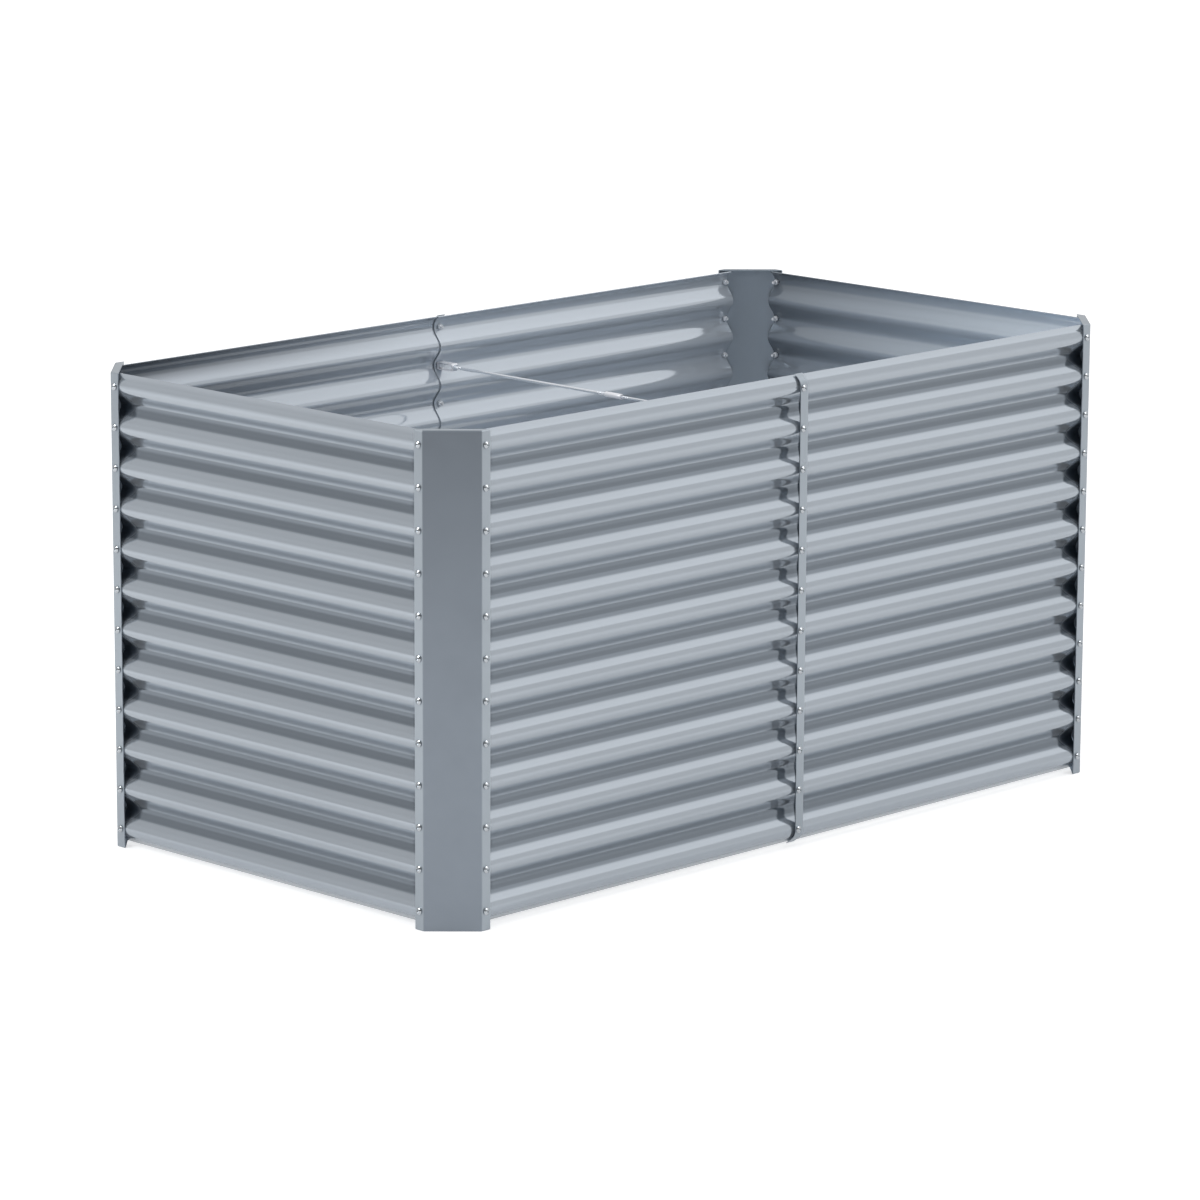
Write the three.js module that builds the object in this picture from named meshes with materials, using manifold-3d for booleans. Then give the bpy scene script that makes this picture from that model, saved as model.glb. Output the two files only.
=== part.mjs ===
// A raised garden bed: four folded corner posts, six corrugated wall panels, two
// seam strips, and a tie rod across the middle that stops the long walls bulging.
// Millimetres, +Z up. The origin is on the ground at the middle of the bed, X runs
// along the long walls, and the front wall faces -Y. The bed has no floor.

import * as THREE from 'three';
import { mergeVertices } from 'three/addons/utils/BufferGeometryUtils.js';
import Module from 'manifold-3d';

const wasm = await Module();
wasm.setup();

// Overall size, over the outer faces of the corner posts.
const LENGTH = 1200;
const WIDTH = 650;
const HEIGHT = 600;

// Clearances.
const SEAT_GAP = 0.3; // between faces that are screwed together
const HOLE_CLEARANCE = 0.4; // round a bolt shank, on the radius
const BORE_CLEARANCE = 0.3; // round a rod or a thread, on the radius

// Corner posts: a flat face across the corner, with a flange along each wall.
const POST_SHEET = 1.2;
const POST_FOLD = 49; // from the corner of the two wall planes to the fold
const FLANGE_WIDTH = 13.5;
const BOLT_FROM_FOLD = 6.5;

// Wall panels: round waves that run along the wall.
const PANEL_SHEET = 1;
const CREST_COUNT = 12;
const WAVE_DEPTH = 13; // from crest to valley
const FIRST_CREST_DROP = 17.3; // first crest below the top of the posts
const LAST_CREST_RISE = 23.9; // last crest above the ground
const PANEL_TOP_DROP = 2.4; // panel edge below the top of the posts
const PANEL_BOTTOM_RISE = 5.6; // panel edge above the ground
const PANEL_END_CLEARANCE = 1.5; // panel end short of the post's fold
const ARC_STEPS = 2; // straight pieces in a quarter wave

// Seams, at the middle of the long walls, where one panel laps over the other.
const STRIP_SHEET = 1.2;
const STRIP_BEFORE_BOLT = 4.8;
const STRIP_AFTER_BOLT = 8.7;
const STRIP_REACH = 1.4; // strip end past the panel's edge
const LAP_AFTER_BOLT = 7.7; // inner panel's end past the seam bolts

// Bolts and nuts.
const SHANK_RADIUS = 2;
const BOLT_LENGTH = 12; // under the head
const HEAD_OVERHANG = 2.5; // head's radius past the shank's
const HEAD_HEIGHT = 2.8;
const HEAD_OUTLINE = [[0, 0], [0.55, 0.1], [0.88, 0.4], [1, 0.8], [1, 1]]; // shares, from the top
const TIP_CHAMFER = 0.5;
const NUT_WALL = 1.5; // from the thread to the flats
const NUT_HEIGHT = 3.2;
const NUT_SIDES = 6;
const ROUND_SIDES = 10;

// The crests that bolts go through, counted from the top.
const LAST_CREST = CREST_COUNT - 1;
const TIE_CREST = 1;
const CORNER_LEVELS = [{ name: 'top', crest: 0 }, { name: 'bottom', crest: LAST_CREST }];
const SEAM_LEVELS = [{ name: 'tie', crest: TIE_CREST }, { name: 'bottom', crest: LAST_CREST }];

// Tie rod: a bracket on each seam, two rods and a sleeve that joins them.
const BRACKET_LENGTH = 28;
const BRACKET_WIDTH = 10;
const BRACKET_SHEET = 1.2;
const BRACKET_FILLET = 0.3; // inside radius of the bends
const BEND_STEPS = 3;
const BACK_ROD_RADIUS = 2;
const FRONT_ROD_RADIUS = 1.5;
const ROD_SHOULDER = 1.2; // rod head's radius past the rod's
const ROD_HEAD_HEIGHT = 2.5;
const ROD_END_GAP = 1; // from a rod's inner end to the middle of the sleeve
const JAM_NUT_HEIGHT = 3;
const SLEEVE_LENGTH = 28;
const SLEEVE_WALL = 1.2;
const SLEEVE_CHAMFER = 0.5;
const MOUTH_STEP = 0.4; // wide mouth's radius past the back bore's
const MOUTH_DEPTH = 2.5;
const SLEEVE_SIDES = 16;

// Sizes that follow from the ones above.
const FLANGE_END = POST_FOLD + FLANGE_WIDTH;
const BOLT_FROM_CORNER = POST_FOLD + BOLT_FROM_FOLD;
const PANEL_END = POST_FOLD + PANEL_END_CLEARANCE;
const PITCH = (HEIGHT - FIRST_CREST_DROP - LAST_CREST_RISE) / LAST_CREST;
const WAVE_TILT = 2 * Math.atan(2 * WAVE_DEPTH / PITCH); // steepest lean of the sheet
const WAVE_RADIUS = PITCH / (4 * Math.sin(WAVE_TILT));
const OUTER_FACE = Math.max(POST_SHEET, STRIP_SHEET) + SEAT_GAP;
// Nested waves touch on their slopes first, so the inner panel sits this much deeper.
const LAP_STEP = (PANEL_SHEET + SEAT_GAP) / Math.cos(WAVE_TILT);
const INNER_FACE = OUTER_FACE + LAP_STEP;
const HOLE_RADIUS = SHANK_RADIUS + HOLE_CLEARANCE;
const INSIDE_RADIUS = WAVE_RADIUS - PANEL_SHEET / 2;
const crestHeight = (index) => HEIGHT - FIRST_CREST_DROP - index * PITCH;

// How deep a flat piece of half height h sits in the faceted hollow of a crest.
const FACET_SAG = INSIDE_RADIUS * (1 - Math.cos(WAVE_TILT / (2 * ARC_STEPS)));
const arcSag = (h) => INSIDE_RADIUS - Math.sqrt(INSIDE_RADIUS ** 2 - h ** 2);
const hollowSeat = (h) => arcSag(h) + FACET_SAG + SEAT_GAP;

// The bracket is high enough inside for the bolt's nut and for the larger rod head.
const BRACKET_ROOM = SEAT_GAP + Math.max(SHANK_RADIUS + NUT_WALL, BACK_ROD_RADIUS + ROD_SHOULDER);
const BRACKET_HALF = BRACKET_ROOM + BRACKET_SHEET;
const BRACKET_SEAT = INNER_FACE + PANEL_SHEET + hollowSeat(BRACKET_HALF);
const BRACKET_END = BRACKET_SEAT + BRACKET_LENGTH;

const FINISHES = {
  post: { color: 0x7c8793, roughness: 0.42, metalness: 0.55 },
  panel: { color: 0xa3acb6, roughness: 0.3, metalness: 0.75 },
  strip: { color: 0xa5adb8, roughness: 0.35, metalness: 0.7 },
  zinc: { color: 0xc9cdd1, roughness: 0.25, metalness: 0.95 },
};

// ---------------------------------------------------------------- geometry

const MERGE_DISTANCE = 1e-4;

function toSolid(geometry) {
  const bare = geometry.index ? geometry.toNonIndexed() : geometry.clone();
  bare.deleteAttribute('normal');
  bare.deleteAttribute('uv');
  const merged = mergeVertices(bare, MERGE_DISTANCE);
  const vertProperties = Float32Array.from(merged.attributes.position.array);
  const triVerts = Uint32Array.from(merged.index.array);
  return new wasm.Manifold(new wasm.Mesh({ numProp: 3, vertProperties, triVerts }));
}

function toGeometry(solid) {
  const mesh = solid.getMesh();
  const geometry = new THREE.BufferGeometry();
  geometry.setAttribute('position', new THREE.BufferAttribute(mesh.vertProperties, 3));
  geometry.setIndex(new THREE.BufferAttribute(mesh.triVerts, 1));
  geometry.computeVertexNormals();
  return geometry;
}

function cutBores(geometry, bores) {
  const solid = bores.reduce((rest, bore) => rest.subtract(toSolid(bore)), toSolid(geometry));
  return toGeometry(solid);
}

function extrude(outline, depth, holes = []) {
  const shape = new THREE.Shape(outline);
  shape.holes = holes.map((hole) => new THREE.Path(hole));
  return new THREE.ExtrudeGeometry(shape, { depth, bevelEnabled: false, steps: 1 });
}

// An outline of (depth, height) points, carried along a wall from one x to another.
function alongWall(outline, fromX, toX, holes = []) {
  const axes = new THREE.Matrix4().makeBasis(
    new THREE.Vector3(0, 1, 0), new THREE.Vector3(0, 0, 1), new THREE.Vector3(1, 0, 0));
  const geometry = extrude(outline, toX - fromX, holes);
  return geometry.applyMatrix4(axes).translate(fromX, 0, 0);
}

// A bore through a wall, along its depth.
function wallBore(radius, x, z, fromDepth, toDepth) {
  const bore = new THREE.CylinderGeometry(radius, radius, toDepth - fromDepth, ROUND_SIDES);
  return bore.translate(x, (fromDepth + toDepth) / 2, z);
}

function ring(radius, sides) {
  return Array.from({ length: sides }, (_, i) => {
    const angle = i * 2 * Math.PI / sides;
    return new THREE.Vector2(radius * Math.cos(angle), radius * Math.sin(angle));
  });
}

function turned(points, sides) {
  return new THREE.LatheGeometry(points.map(([r, y]) => new THREE.Vector2(r, y)), sides);
}

// ---------------------------------------------------------- sheet profiles
// A station is a point on the middle of a sheet, with the sheet's tilt there.

function arcStation(centreDepth, centreHeight, radius, tilt) {
  return {
    depth: centreDepth - radius * Math.cos(tilt),
    height: centreHeight - radius * Math.sin(tilt),
    tilt,
  };
}

// The sheet's end past its first or last crest: it rolls inwards round the crest
// and then runs on straight until it reaches the given height.
// side is 1 for the top end and -1 for the bottom one.
function rolledEnd(face, thickness, radius, crest, edge, side) {
  const centreDepth = face + thickness / 2 + radius;
  const reach = side * (edge - crest);
  const tilt = Math.min(WAVE_TILT, Math.asin(Math.min(1, reach / radius)));
  const straight = (reach - radius * Math.sin(tilt)) / Math.cos(tilt);
  const arc = [];
  for (let step = ARC_STEPS; step > 0; step -= 1) {
    arc.push(arcStation(centreDepth, crest, radius, -side * tilt * step / ARC_STEPS));
  }
  if (straight < SEAT_GAP) return arc;
  const end = {
    depth: arc[0].depth + straight * Math.sin(tilt),
    height: arc[0].height + side * straight * Math.cos(tilt),
    tilt: arc[0].tilt,
  };
  return [end, ...arc];
}

// The waves from the first crest to the last: crests and valleys are arcs of one
// radius that meet at the steepest tilt. An odd turn is a valley.
function waveStations(face) {
  const middle = face + (PANEL_SHEET + WAVE_DEPTH) / 2;
  const stations = [];
  for (let i = 0; i <= 4 * ARC_STEPS * LAST_CREST; i += 1) {
    const quarter = i / ARC_STEPS;
    const turn = Math.round(quarter / 2);
    const bulge = turn % 2 === 0 ? 1 : -1;
    const centreDepth = middle + bulge * (WAVE_RADIUS - WAVE_DEPTH / 2);
    const tilt = bulge * WAVE_TILT * (quarter - 2 * turn);
    stations.push(arcStation(centreDepth, crestHeight(turn / 2), bulge * WAVE_RADIUS, tilt));
  }
  return stations;
}

function panelPath(face) {
  const end = (crest, edge, side) => rolledEnd(
    face, PANEL_SHEET, WAVE_RADIUS, crestHeight(crest), edge, side);
  const top = end(0, HEIGHT - PANEL_TOP_DROP, 1);
  const bottom = end(LAST_CREST, PANEL_BOTTOM_RISE, -1);
  return [...top, ...waveStations(face), ...bottom.reverse()];
}

function stripPath() {
  const radius = WAVE_RADIUS + PANEL_SHEET / 2 + SEAT_GAP + STRIP_SHEET / 2;
  const face = OUTER_FACE - SEAT_GAP - STRIP_SHEET;
  const end = (crest, edge, side) => rolledEnd(
    face, STRIP_SHEET, radius, crestHeight(crest), edge, side);
  const flat = (crest) => arcStation(face + STRIP_SHEET / 2 + radius, crestHeight(crest), radius, 0);
  const top = end(0, HEIGHT - PANEL_TOP_DROP + STRIP_REACH, 1);
  const bottom = end(LAST_CREST, PANEL_BOTTOM_RISE - STRIP_REACH, -1);
  return [...top, flat(0), flat(LAST_CREST), ...bottom.reverse()];
}

// The two faces of a sheet that follows a path, as one closed outline.
function sheetOutline(path, thickness) {
  const offset = (station, distance) => new THREE.Vector2(
    station.depth - distance * Math.cos(station.tilt),
    station.height - distance * Math.sin(station.tilt));
  const outside = path.map((station) => offset(station, thickness / 2));
  const inside = path.map((station) => offset(station, -thickness / 2));
  return [...outside, ...inside.reverse()].reverse();
}

// ------------------------------------------------------------------- parts

function add(parent, name, geometry, finish) {
  const mesh = new THREE.Mesh(geometry, new THREE.MeshStandardMaterial(FINISHES[finish]));
  mesh.name = name;
  parent.add(mesh);
  return mesh;
}

// A post in its own corner: x and y run along the two walls, away from the corner.
function postGeometry() {
  const innerFold = POST_FOLD + POST_SHEET * (Math.SQRT2 - 1);
  const outside = [[FLANGE_END, 0], [POST_FOLD, 0], [0, POST_FOLD], [0, FLANGE_END]];
  const inside = [[POST_SHEET, FLANGE_END], [POST_SHEET, innerFold],
    [innerFold, POST_SHEET], [FLANGE_END, POST_SHEET]];
  const points = (list) => list.map(([x, y]) => new THREE.Vector2(x, y)).reverse();
  const channel = toSolid(extrude(points([...outside, ...inside]), HEIGHT));
  const lip = extrude(points(outside), POST_SHEET);
  const topLip = lip.clone().translate(0, 0, HEIGHT - POST_SHEET);
  const post = channel.add(toSolid(lip)).add(toSolid(topLip));
  return cutBores(toGeometry(post), postBores());
}

function postBores() {
  const [from, to] = [-SEAT_GAP, POST_SHEET + SEAT_GAP];
  return CORNER_LEVELS.flatMap(({ crest }) => {
    const bore = wallBore(HOLE_RADIUS, BOLT_FROM_CORNER, crestHeight(crest), from, to);
    const across = new THREE.CylinderGeometry(HOLE_RADIUS, HOLE_RADIUS, to - from, ROUND_SIDES);
    across.rotateZ(Math.PI / 2);
    across.translate((from + to) / 2, BOLT_FROM_CORNER, crestHeight(crest));
    return [bore, across];
  });
}

function panelGeometry(face, fromX, toX, columns) {
  const bores = columns.flatMap(({ x, levels }) => levels.map(({ crest }) => wallBore(
    HOLE_RADIUS, x, crestHeight(crest), face - SEAT_GAP, face + WAVE_DEPTH)));
  return cutBores(alongWall(sheetOutline(panelPath(face), PANEL_SHEET), fromX, toX), bores);
}

function stripGeometry() {
  const bores = SEAM_LEVELS.map(({ crest }) => wallBore(
    HOLE_RADIUS, 0, crestHeight(crest), -SEAT_GAP, OUTER_FACE + WAVE_DEPTH));
  const outline = sheetOutline(stripPath(), STRIP_SHEET);
  return cutBores(alongWall(outline, -STRIP_BEFORE_BOLT, STRIP_AFTER_BOLT), bores);
}

// A pan-head bolt along the wall's depth, with its head outside the wall.
function boltGeometry() {
  const top = -SEAT_GAP - HEAD_HEIGHT;
  const tip = BOLT_LENGTH - SEAT_GAP;
  const headRadius = SHANK_RADIUS + HEAD_OVERHANG;
  const head = HEAD_OUTLINE.map(([r, y]) => [r * headRadius, top + y * HEAD_HEIGHT]);
  return turned([
    ...head,
    [SHANK_RADIUS, -SEAT_GAP],
    [SHANK_RADIUS, tip - TIP_CHAMFER],
    [SHANK_RADIUS - TIP_CHAMFER, tip],
    [0, tip],
  ], ROUND_SIDES);
}

// A hexagon nut along the wall's depth, with flats above and below.
function nutGeometry(threadRadius, height) {
  const corner = (threadRadius + NUT_WALL) / Math.cos(Math.PI / NUT_SIDES);
  const bore = ring(threadRadius + BORE_CLEARANCE, ROUND_SIDES);
  return extrude(ring(corner, NUT_SIDES), height, [bore])
    .rotateX(Math.PI / 2).translate(0, height, 0);
}

// A strap bent into a long loop, with a bore in each end.
function bracketGeometry(rodRadius) {
  const loop = (inset) => {
    const [y0, y1] = [BRACKET_SEAT + inset, BRACKET_END - inset];
    const half = BRACKET_HALF - inset;
    const bend = BRACKET_FILLET + BRACKET_SHEET - inset;
    const shape = new THREE.Shape();
    shape.moveTo(y0 + bend, -half);
    shape.lineTo(y1 - bend, -half);
    shape.absarc(y1 - bend, bend - half, bend, -Math.PI / 2, 0);
    shape.absarc(y1 - bend, half - bend, bend, 0, Math.PI / 2);
    shape.absarc(y0 + bend, half - bend, bend, Math.PI / 2, Math.PI);
    shape.absarc(y0 + bend, bend - half, bend, Math.PI, 1.5 * Math.PI);
    return shape.extractPoints(BEND_STEPS).shape;
  };
  const strap = alongWall(
    loop(0), -BRACKET_WIDTH / 2, BRACKET_WIDTH / 2, [loop(BRACKET_SHEET)]);
  const reach = BRACKET_SHEET + SEAT_GAP;
  return cutBores(strap, [
    wallBore(HOLE_RADIUS, 0, 0, BRACKET_SEAT - SEAT_GAP, BRACKET_SEAT + reach),
    wallBore(rodRadius + BORE_CLEARANCE, 0, 0, BRACKET_END - reach, BRACKET_END + SEAT_GAP),
  ]);
}

// A rod whose head sits inside its bracket and whose far end is in the sleeve.
function rodGeometry(radius) {
  const seat = BRACKET_END - BRACKET_SHEET - Math.max(SEAT_GAP, BRACKET_FILLET);
  const end = WIDTH / 2 - ROD_END_GAP;
  return turned([
    [0, seat - ROD_HEAD_HEIGHT],
    [radius + ROD_SHOULDER, seat - ROD_HEAD_HEIGHT],
    [radius + ROD_SHOULDER, seat],
    [radius, seat],
    [radius, end],
    [0, end],
  ], ROUND_SIDES);
}

// The sleeve that joins the rods, with a wide mouth at its front end (-Y).
function sleeveGeometry() {
  const half = SLEEVE_LENGTH / 2;
  const backBore = BACK_ROD_RADIUS + BORE_CLEARANCE;
  const frontBore = FRONT_ROD_RADIUS + BORE_CLEARANCE;
  const mouth = backBore + MOUTH_STEP;
  const radius = backBore + SLEEVE_WALL;
  const outline = [
    [mouth, -half],
    [radius - SLEEVE_CHAMFER, -half],
    [radius, SLEEVE_CHAMFER - half],
    [radius, half - SLEEVE_CHAMFER],
    [radius - SLEEVE_CHAMFER, half],
    [backBore, half],
    [backBore, 0],
    [frontBore, 0],
    [frontBore, MOUTH_DEPTH - half],
    [mouth, MOUTH_DEPTH - half],
  ];
  return turned([...outline, outline[0]], SLEEVE_SIDES);
}

// -------------------------------------------------------------- assemblies
// A wall's own frame has x to the right as seen from outside, and y into the bed.

const boltColumn = (length) => length / 2 - BOLT_FROM_CORNER;
const panelEnd = (length) => length / 2 - PANEL_END;

function wallGroup(offsetX, offsetY, turn) {
  const group = new THREE.Group();
  group.position.set(offsetX, offsetY, 0);
  group.rotation.z = turn;
  return group;
}

// Bolts with their nuts. The nut of the tie level sits inside the bracket.
function addBolts(wall, label, x, levels, innerFace) {
  const hollow = innerFace + PANEL_SHEET + hollowSeat(SHANK_RADIUS + NUT_WALL);
  const inBracket = BRACKET_SEAT + BRACKET_SHEET + Math.max(SEAT_GAP, BRACKET_FILLET);
  levels.forEach(({ name, crest }) => {
    const bolt = add(wall, `bolt_${label}_${name}`, boltGeometry(), 'zinc');
    bolt.position.set(x, 0, crestHeight(crest));
    const nut = add(wall, `nut_${label}_${name}`, nutGeometry(SHANK_RADIUS, NUT_HEIGHT), 'zinc');
    nut.position.set(x, name === 'tie' ? inBracket : hollow, crestHeight(crest));
  });
}

// A long wall: the panel on the right laps over the one on the left, at the seam.
function longWall(name, [left, right], offsetY, turn) {
  const wall = wallGroup(0, offsetY, turn);
  const [boltX, endX] = [boltColumn(LENGTH), panelEnd(LENGTH)];
  const seam = { x: 0, levels: SEAM_LEVELS };
  const inner = panelGeometry(
    INNER_FACE, -endX, LAP_AFTER_BOLT, [{ x: -boltX, levels: CORNER_LEVELS }, seam]);
  const outer = panelGeometry(
    OUTER_FACE, -STRIP_BEFORE_BOLT, endX, [seam, { x: boltX, levels: CORNER_LEVELS }]);
  add(wall, `panel_${name}_${left}`, inner, 'panel');
  add(wall, `panel_${name}_${right}`, outer, 'panel');
  add(wall, `seam_strip_${name}`, stripGeometry(), 'strip');
  addBolts(wall, `${name}_${left}`, -boltX, CORNER_LEVELS, INNER_FACE);
  addBolts(wall, `${name}_seam`, 0, SEAM_LEVELS, INNER_FACE);
  addBolts(wall, `${name}_${right}`, boltX, CORNER_LEVELS, OUTER_FACE);
  return wall;
}

function shortWall(name, [left, right], offsetX, turn) {
  const wall = wallGroup(offsetX, 0, turn);
  const [boltX, endX] = [boltColumn(WIDTH), panelEnd(WIDTH)];
  const columns = [-boltX, boltX].map((x) => ({ x, levels: CORNER_LEVELS }));
  add(wall, `panel_side_${name}`, panelGeometry(OUTER_FACE, -endX, endX, columns), 'panel');
  addBolts(wall, `${name}_${left}`, -boltX, CORNER_LEVELS, OUTER_FACE);
  addBolts(wall, `${name}_${right}`, boltX, CORNER_LEVELS, OUTER_FACE);
  return wall;
}

function addTie(wall, name, rodRadius) {
  const height = crestHeight(TIE_CREST);
  add(wall, `tie_bracket_${name}`, bracketGeometry(rodRadius), 'zinc').position.z = height;
  add(wall, `tie_rod_${name}`, rodGeometry(rodRadius), 'zinc').position.z = height;
  const nut = add(wall, `tie_jam_nut_${name}`, nutGeometry(rodRadius, JAM_NUT_HEIGHT), 'zinc');
  nut.position.set(0, BRACKET_END + SEAT_GAP, height);
}

const bed = new THREE.Group();

const CORNERS = ['front_left', 'front_right', 'back_right', 'back_left'];
CORNERS.forEach((name, quarter) => {
  const [sideX, sideY] = [quarter === 1 || quarter === 2 ? 1 : -1, quarter > 1 ? 1 : -1];
  const post = add(bed, `post_${name}`, postGeometry(), 'post');
  post.position.set(sideX * LENGTH / 2, sideY * WIDTH / 2, 0);
  post.rotation.z = quarter * Math.PI / 2;
});

const front = longWall('front', ['left', 'right'], -WIDTH / 2, 0);
const back = longWall('back', ['right', 'left'], WIDTH / 2, Math.PI);
addTie(front, 'front', FRONT_ROD_RADIUS);
addTie(back, 'back', BACK_ROD_RADIUS);
bed.add(front, back);
bed.add(shortWall('left', ['back', 'front'], -LENGTH / 2, -Math.PI / 2));
bed.add(shortWall('right', ['front', 'back'], LENGTH / 2, Math.PI / 2));
add(bed, 'tie_sleeve', sleeveGeometry(), 'zinc').position.z = crestHeight(TIE_CREST);

export default bed;
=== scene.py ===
"""A raised garden bed of corrugated zinc-coated steel, dressed and lit in a studio.

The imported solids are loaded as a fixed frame, and each of them is replaced here by a
finer piece in the same place. Metres, +Z up: the origin is on the ground at the middle
of the bed, X runs along the long walls and the front wall faces -Y.
"""

import logging
import math
from dataclasses import dataclass, field, replace
from enum import Enum

import bmesh
import bpy
import numpy as np
from mathutils import Matrix, Vector


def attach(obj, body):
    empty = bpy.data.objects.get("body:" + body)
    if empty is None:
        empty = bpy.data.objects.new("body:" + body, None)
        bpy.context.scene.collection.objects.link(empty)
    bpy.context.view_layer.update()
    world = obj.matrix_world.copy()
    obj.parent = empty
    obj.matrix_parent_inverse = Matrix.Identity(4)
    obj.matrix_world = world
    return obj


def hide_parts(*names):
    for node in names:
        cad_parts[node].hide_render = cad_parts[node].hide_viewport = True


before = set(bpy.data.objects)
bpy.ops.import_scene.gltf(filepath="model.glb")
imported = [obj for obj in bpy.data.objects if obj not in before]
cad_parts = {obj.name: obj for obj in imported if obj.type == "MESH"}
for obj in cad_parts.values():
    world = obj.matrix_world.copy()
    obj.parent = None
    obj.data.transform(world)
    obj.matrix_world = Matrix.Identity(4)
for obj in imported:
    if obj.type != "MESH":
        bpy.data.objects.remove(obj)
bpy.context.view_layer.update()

LOG = logging.getLogger("garden_bed")
MM = 0.001
WHITE = (1.0, 1.0, 1.0, 1.0)
INNER_POINTS = 4  # points of a carried sheet's section that lie on its inner face
Array = np.ndarray
Faces = list[list[int]]
Rings = list[tuple[Array | float, float]]
Sizes = tuple[float, ...]
Span = tuple[float, float]
Triple = tuple[float, float, float]


# ---------- mesh helpers


def quads(*corners: Array) -> Faces:
    """Faces from four arrays that hold the number of each one's corners."""
    return np.stack(corners, axis=-1).reshape(-1, 4).tolist()


def skin(points: Array, wrap: bool = False) -> tuple[Array, Faces]:
    """Joins rows of points into one closed surface.

    Point j of a row is joined to point j + 1, the row's last point to its first, and
    each row to the next one.

    Args:
        points: Rows of points, shaped (rows, sides, 3).
        wrap: Joins the last row to the first one, in place of filling both.

    Returns:
        The points as a list of places, and the faces as lists of their numbers.
    """
    rows, sides = points.shape[:2]
    index = np.arange(rows * sides).reshape(rows, sides)
    here = index if wrap else index[:-1]
    there = np.roll(index, -1, axis=0)[: len(here)]
    faces = quads(here, np.roll(here, -1, axis=1), np.roll(there, -1, axis=1), there)
    if not wrap:
        faces += [index[0, ::-1].tolist(), index[-1].tolist()]
    return points.reshape(-1, 3), faces


def turned(rings: Rings, sides: int) -> Array:
    """Turns a profile about the depth axis.

    A point (radius, depth) goes to x = radius times the cosine of the angle and
    z = radius times its sine, at that depth, for evenly spaced angles.

    Args:
        rings: Radius and depth of each row. A radius can have a value for each side.
        sides: Number of points round the axis.

    Returns:
        Points shaped (rows, sides, 3).
    """
    angle = np.linspace(0.0, 2.0 * np.pi, sides, endpoint=False)
    rows = [
        [radius * np.cos(angle), np.full(sides, depth), radius * np.sin(angle)]
        for radius, depth in rings
    ]
    return np.moveaxis(np.array(rows), 1, -1)


def hexagon(flat_radius: float, sides: int) -> Array:
    """Radii of a hexagon: the flat radius over the cosine of the angle to the nearest flat."""
    angle = np.linspace(0.0, 2.0 * np.pi, sides, endpoint=False)
    from_flat = (angle + np.pi / 6.0) % (np.pi / 3.0) - np.pi / 6.0
    return flat_radius / np.cos(from_flat)


@dataclass(frozen=True)
class Piece:
    """One physical piece of the bed, ready to be put in the scene."""

    name: str
    points: Array  # in the row frame
    faces: Faces
    nodes: tuple[str, ...] = ()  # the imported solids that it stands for
    body: str = "bed"  # that it moves with
    sharp_angle: float = 32.0  # degrees: edges that bend more stay sharp
    tones: dict[str, Array] = field(default_factory=dict)  # 0 to 1 on each point

    def build(self, material: bpy.types.Material, slot: str) -> bpy.types.Object:
        """Makes the mesh with its faces pointing out, and rides it on its body."""
        mesh = bpy.data.meshes.new(self.name)
        mesh.from_pydata(self.points.tolist(), [], self.faces)
        shell = bmesh.new()
        shell.from_mesh(mesh)
        bmesh.ops.recalc_face_normals(shell, faces=shell.faces)
        shell.to_mesh(mesh)
        shell.free()
        mesh.polygons.foreach_set("use_smooth", np.ones(len(mesh.polygons), bool))
        mesh.set_sharp_from_angle(angle=math.radians(self.sharp_angle))
        for name, values in self.tones.items():
            layer = mesh.attributes.new(name, "FLOAT", "POINT")
            layer.data.foreach_set("value", values.astype(np.float32).ravel())
        mesh.materials.append(material)
        piece = bpy.data.objects.new(self.name, mesh)
        bpy.context.scene.collection.objects.link(piece)
        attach(piece, self.body)
        if self.nodes:
            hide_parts(*self.nodes)
        return piece


# ---------- sizes


@dataclass(frozen=True)
class Wall:
    """A wall's own frame: x to the right as seen from outside, y into the bed, z up."""

    name: str
    length: float
    offset: Span
    turn: float
    ends: tuple[str, str] = ("left", "right")

    @property
    def long(self) -> bool:
        """Whether it is one of the two long walls, which have a seam."""
        return self.name in ("front", "back")

    def place(self, points: Array) -> Array:
        """Turns points about Z by the wall's turn, then moves them by its offset."""
        x, y, z = np.moveaxis(points, -1, 0)
        cos, sin = math.cos(self.turn), math.sin(self.turn)
        return np.stack(
            [self.offset[0] + cos * x - sin * y, self.offset[1] + sin * x + cos * y, z],
            axis=-1,
        )


@dataclass(frozen=True)
class Bed:
    """Overall sizes over the posts, and the gap between faces that are screwed together."""

    length: float = 1200 * MM
    width: float = 650 * MM
    height: float = 600 * MM
    seat_gap: float = 0.3 * MM

    def walls(self) -> list[Wall]:
        """The front, back, left and right wall."""
        half_x, half_y = self.length / 2.0, self.width / 2.0
        quarter = math.pi / 2.0
        return [
            Wall("front", self.length, (0.0, -half_y), 0.0),
            Wall("back", self.length, (0.0, half_y), math.pi, ("right", "left")),
            Wall("left", self.width, (-half_x, 0.0), -quarter, ("back", "front")),
            Wall("right", self.width, (half_x, 0.0), quarter, ("front", "back")),
        ]


class Lap(Enum):
    """Which of two lapped wall panels a panel is."""

    OUTER = "outer"
    INNER = "inner"


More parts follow.
